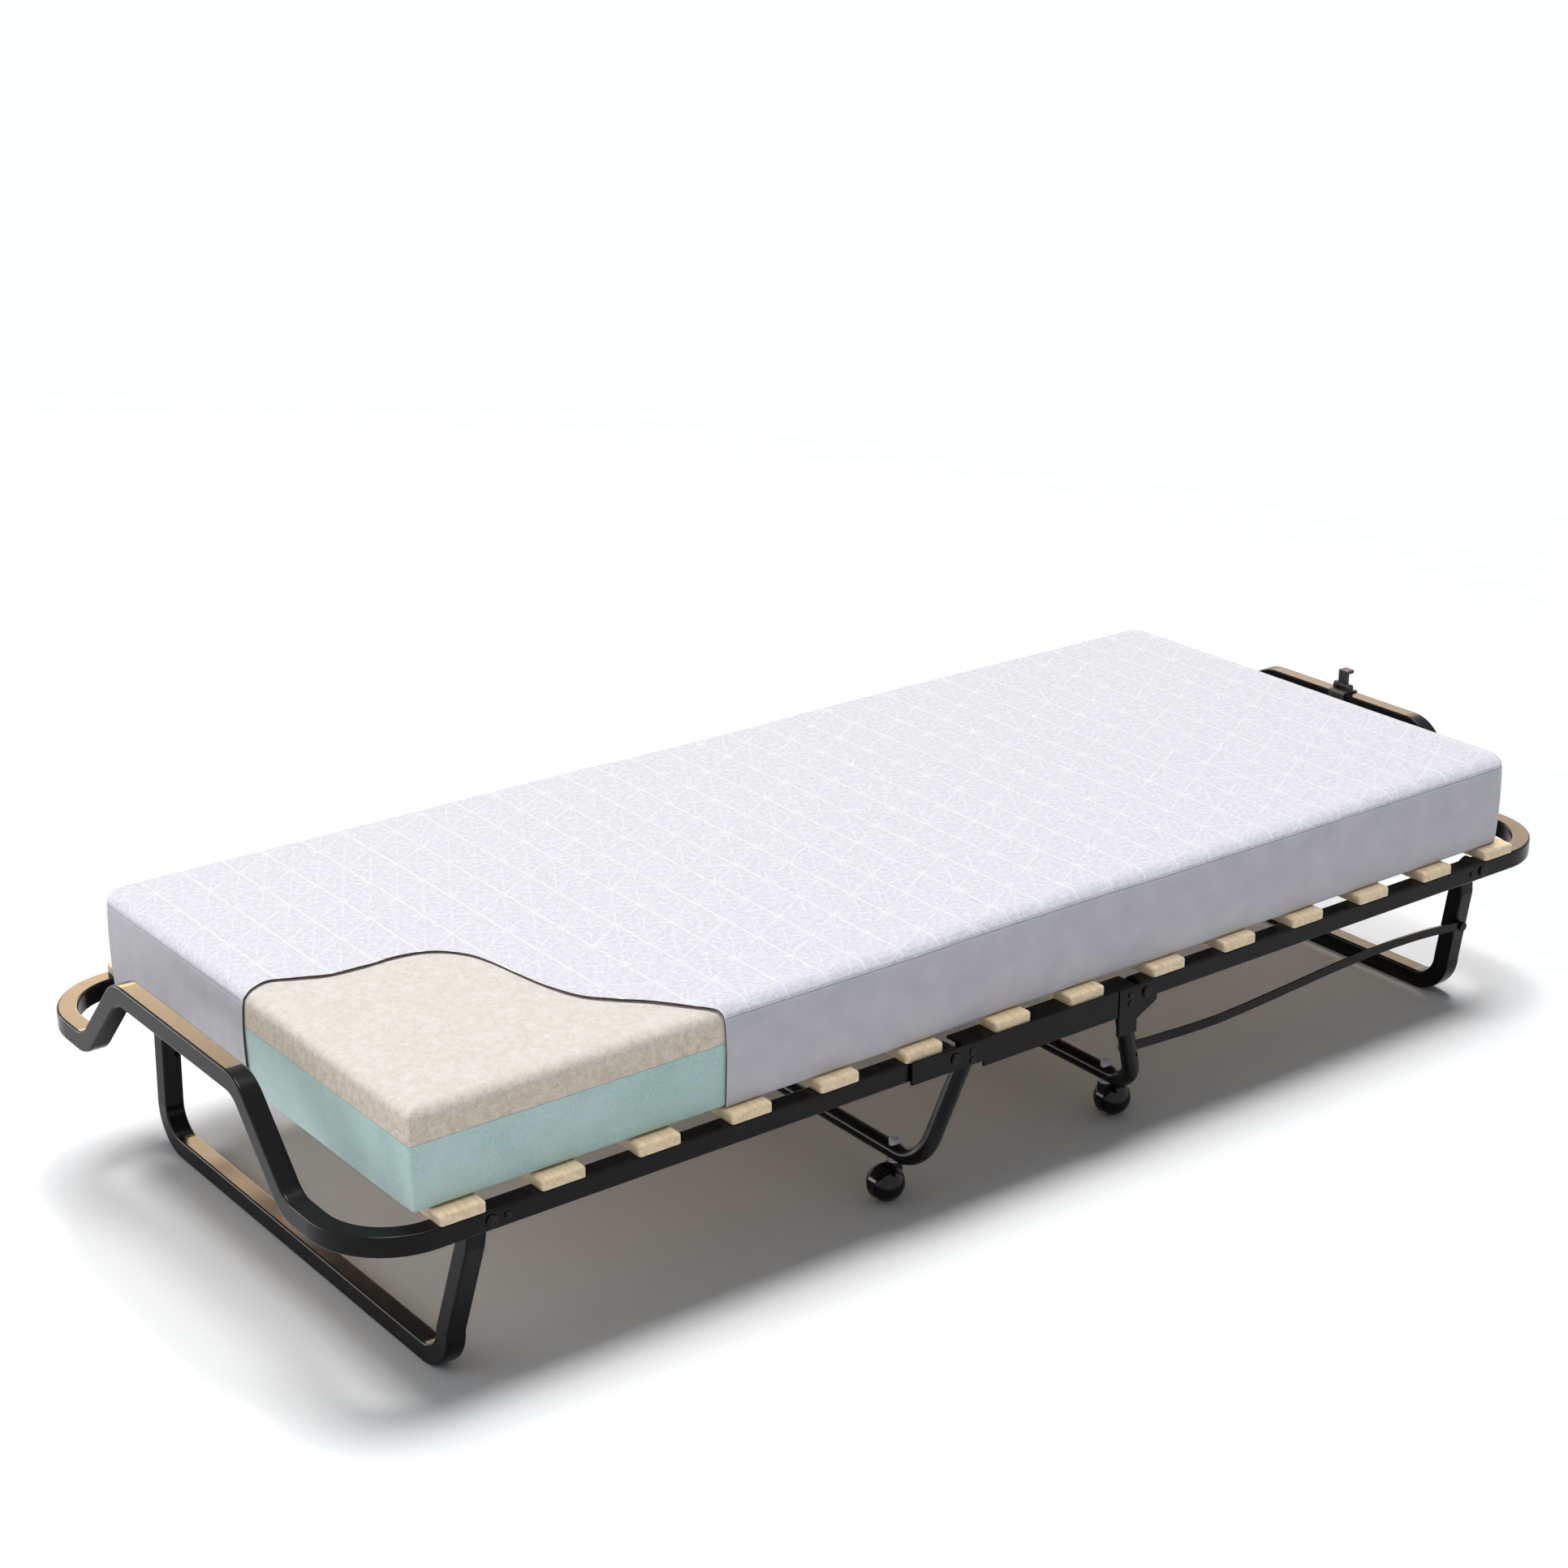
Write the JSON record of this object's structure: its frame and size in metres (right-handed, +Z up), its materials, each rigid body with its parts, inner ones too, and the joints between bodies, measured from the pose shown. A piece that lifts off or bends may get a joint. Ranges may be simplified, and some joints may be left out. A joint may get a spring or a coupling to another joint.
{
  "type": "folding cot",
  "caption": "Rollaway folding cot with a foam mattress on wooden slats: two tube frame halves fold up on a wheeled centre section, and linked end legs follow the fold.",
  "frame": {"origin": "on the floor under the middle of the bed", "axes": "+X along the bed towards the end with the latch, +Y across the bed, +Z up"},
  "size_m": [1.903, 0.816, 0.363],
  "materials": {
    "black_steel": "satin black powder coat",
    "zinc_steel": "blackened steel",
    "pine": "sanded pine",
    "slat_cap": "wood-toned moulded plastic",
    "caster_plastic": "glossy black",
    "latch_plastic": "satin black",
    "clear_plastic": "milky translucent",
    "base_foam": "open-cell foam, mint",
    "memory_foam": "open-cell foam, cream",
    "cover": "knitted jacquard, white-lavender top and grey border"
  },
  "bodies": {
    "center": {"center_plate_near": "black_steel", "center_plate_far": "black_steel", "left_caster_leg": "black_steel", "right_caster_leg": "black_steel", "center_slat_left": "pine", "center_slat_right": "pine", "center_slat_caps": "slat_cap", "caster_sockets": "clear_plastic", "fold_pivot_bolts": "black_steel", "caster_leg_rivets": "black_steel", "left_link_pin": "zinc_steel", "right_link_pin": "zinc_steel", "center_base_foam": "base_foam", "center_memory_foam": "memory_foam", "center_cover": "cover"},
    "left_half": {"left_frame": "black_steel", "left_slat_1": "pine", "left_slat_2": "pine", "left_slat_3": "pine", "left_slat_4": "pine", "left_slat_5": "pine", "left_slat_6": "pine", "left_slat_caps": "slat_cap", "left_leg_bolts": "black_steel", "left_base_foam": "base_foam", "left_memory_foam": "memory_foam", "left_cover": "cover"},
    "right_half": {"right_frame": "black_steel", "right_slat_1": "pine", "right_slat_2": "pine", "right_slat_3": "pine", "right_slat_4": "pine", "right_slat_5": "pine", "right_slat_6": "pine", "right_slat_caps": "slat_cap", "right_leg_bolts": "black_steel", "right_base_foam": "base_foam", "right_memory_foam": "memory_foam", "right_cover": "cover", "latch_clip": "latch_plastic"},
    "left_leg": {"left_end_leg": "black_steel", "left_leg_pin": "zinc_steel"},
    "right_leg": {"right_end_leg": "black_steel", "right_leg_pin": "zinc_steel"},
    "left_link": {"left_link_rod": "black_steel"},
    "right_link": {"right_link_rod": "black_steel"},
    "latch": {"latch_hook": "latch_plastic"},
    "caster_1": {"caster_stem_1": "zinc_steel", "caster_hood_1": "caster_plastic"},
    "caster_1_wheels": {"caster_wheels_1": "caster_plastic"},
    "caster_2": {"caster_stem_2": "zinc_steel", "caster_hood_2": "caster_plastic"},
    "caster_2_wheels": {"caster_wheels_2": "caster_plastic"},
    "caster_3": {"caster_stem_3": "zinc_steel", "caster_hood_3": "caster_plastic"},
    "caster_3_wheels": {"caster_wheels_3": "caster_plastic"},
    "caster_4": {"caster_stem_4": "zinc_steel", "caster_hood_4": "caster_plastic"},
    "caster_4_wheels": {"caster_wheels_4": "caster_plastic"}
  },
  "joints": [
    {"name": "left_fold", "type": "hinge", "parent": "center", "child": "left_half", "pos_m": [-0.154, 0, 0.2125], "axis": [0, 1, 0], "range_deg": [0, 90], "deforming": ["center_base_foam", "center_memory_foam", "center_cover"]},
    {"name": "left_leg_fold", "type": "hinge", "parent": "left_half", "child": "left_leg", "pos_m": [-0.787, 0, 0.2125], "axis": [0, 1, 0], "range_deg": [-90, 0]},
    {"name": "left_link_swing", "type": "hinge", "parent": "center", "child": "left_link", "pos_m": [-0.16, 0, 0.1185], "axis": [0, 1, 0], "range_deg": [0, 90]},
    {"name": "right_fold", "type": "hinge", "parent": "center", "child": "right_half", "pos_m": [0.154, 0, 0.2125], "axis": [0, -1, 0], "range_deg": [0, 90], "deforming": ["center_base_foam", "center_memory_foam", "center_cover"]},
    {"name": "right_leg_fold", "type": "hinge", "parent": "right_half", "child": "right_leg", "pos_m": [0.787, 0, 0.2125], "axis": [0, -1, 0], "range_deg": [-90, 0]},
    {"name": "right_link_swing", "type": "hinge", "parent": "center", "child": "right_link", "pos_m": [0.16, 0, 0.1185], "axis": [0, -1, 0], "range_deg": [0, 90]},
    {"name": "caster_1_swivel", "type": "hinge", "parent": "center", "child": "caster_1", "pos_m": [-0.174, -0.319, 0.06], "axis": [0, 0, 1], "continuous": true},
    {"name": "caster_1_roll", "type": "hinge", "parent": "caster_1", "child": "caster_1_wheels", "pos_m": [-0.187, -0.319, 0.024], "axis": [0, 1, 0], "continuous": true},
    {"name": "caster_2_swivel", "type": "hinge", "parent": "center", "child": "caster_2", "pos_m": [-0.174, 0.319, 0.06], "axis": [0, 0, 1], "continuous": true},
    {"name": "caster_2_roll", "type": "hinge", "parent": "caster_2", "child": "caster_2_wheels", "pos_m": [-0.187, 0.319, 0.024], "axis": [0, 1, 0], "continuous": true},
    {"name": "caster_3_swivel", "type": "hinge", "parent": "center", "child": "caster_3", "pos_m": [0.174, -0.319, 0.06], "axis": [0, 0, 1], "continuous": true},
    {"name": "caster_3_roll", "type": "hinge", "parent": "caster_3", "child": "caster_3_wheels", "pos_m": [0.187, -0.319, 0.024], "axis": [0, 1, 0], "continuous": true},
    {"name": "caster_4_swivel", "type": "hinge", "parent": "center", "child": "caster_4", "pos_m": [0.174, 0.319, 0.06], "axis": [0, 0, 1], "continuous": true},
    {"name": "caster_4_roll", "type": "hinge", "parent": "caster_4", "child": "caster_4_wheels", "pos_m": [0.187, 0.319, 0.024], "axis": [0, 1, 0], "continuous": true},
    {"name": "latch_swing", "type": "hinge", "parent": "right_half", "child": "latch", "pos_m": [0.9375, 0, 0.338], "axis": [0, 1, 0], "range_deg": [-90, 90]}
  ],
  "couplings": [
    {"joint": "left_leg_fold", "follows": "left_fold", "ratio": -1},
    {"joint": "left_link_swing", "follows": "left_fold", "ratio": 1},
    {"joint": "right_leg_fold", "follows": "right_fold", "ratio": -1},
    {"joint": "right_link_swing", "follows": "right_fold", "ratio": 1}
  ]
}
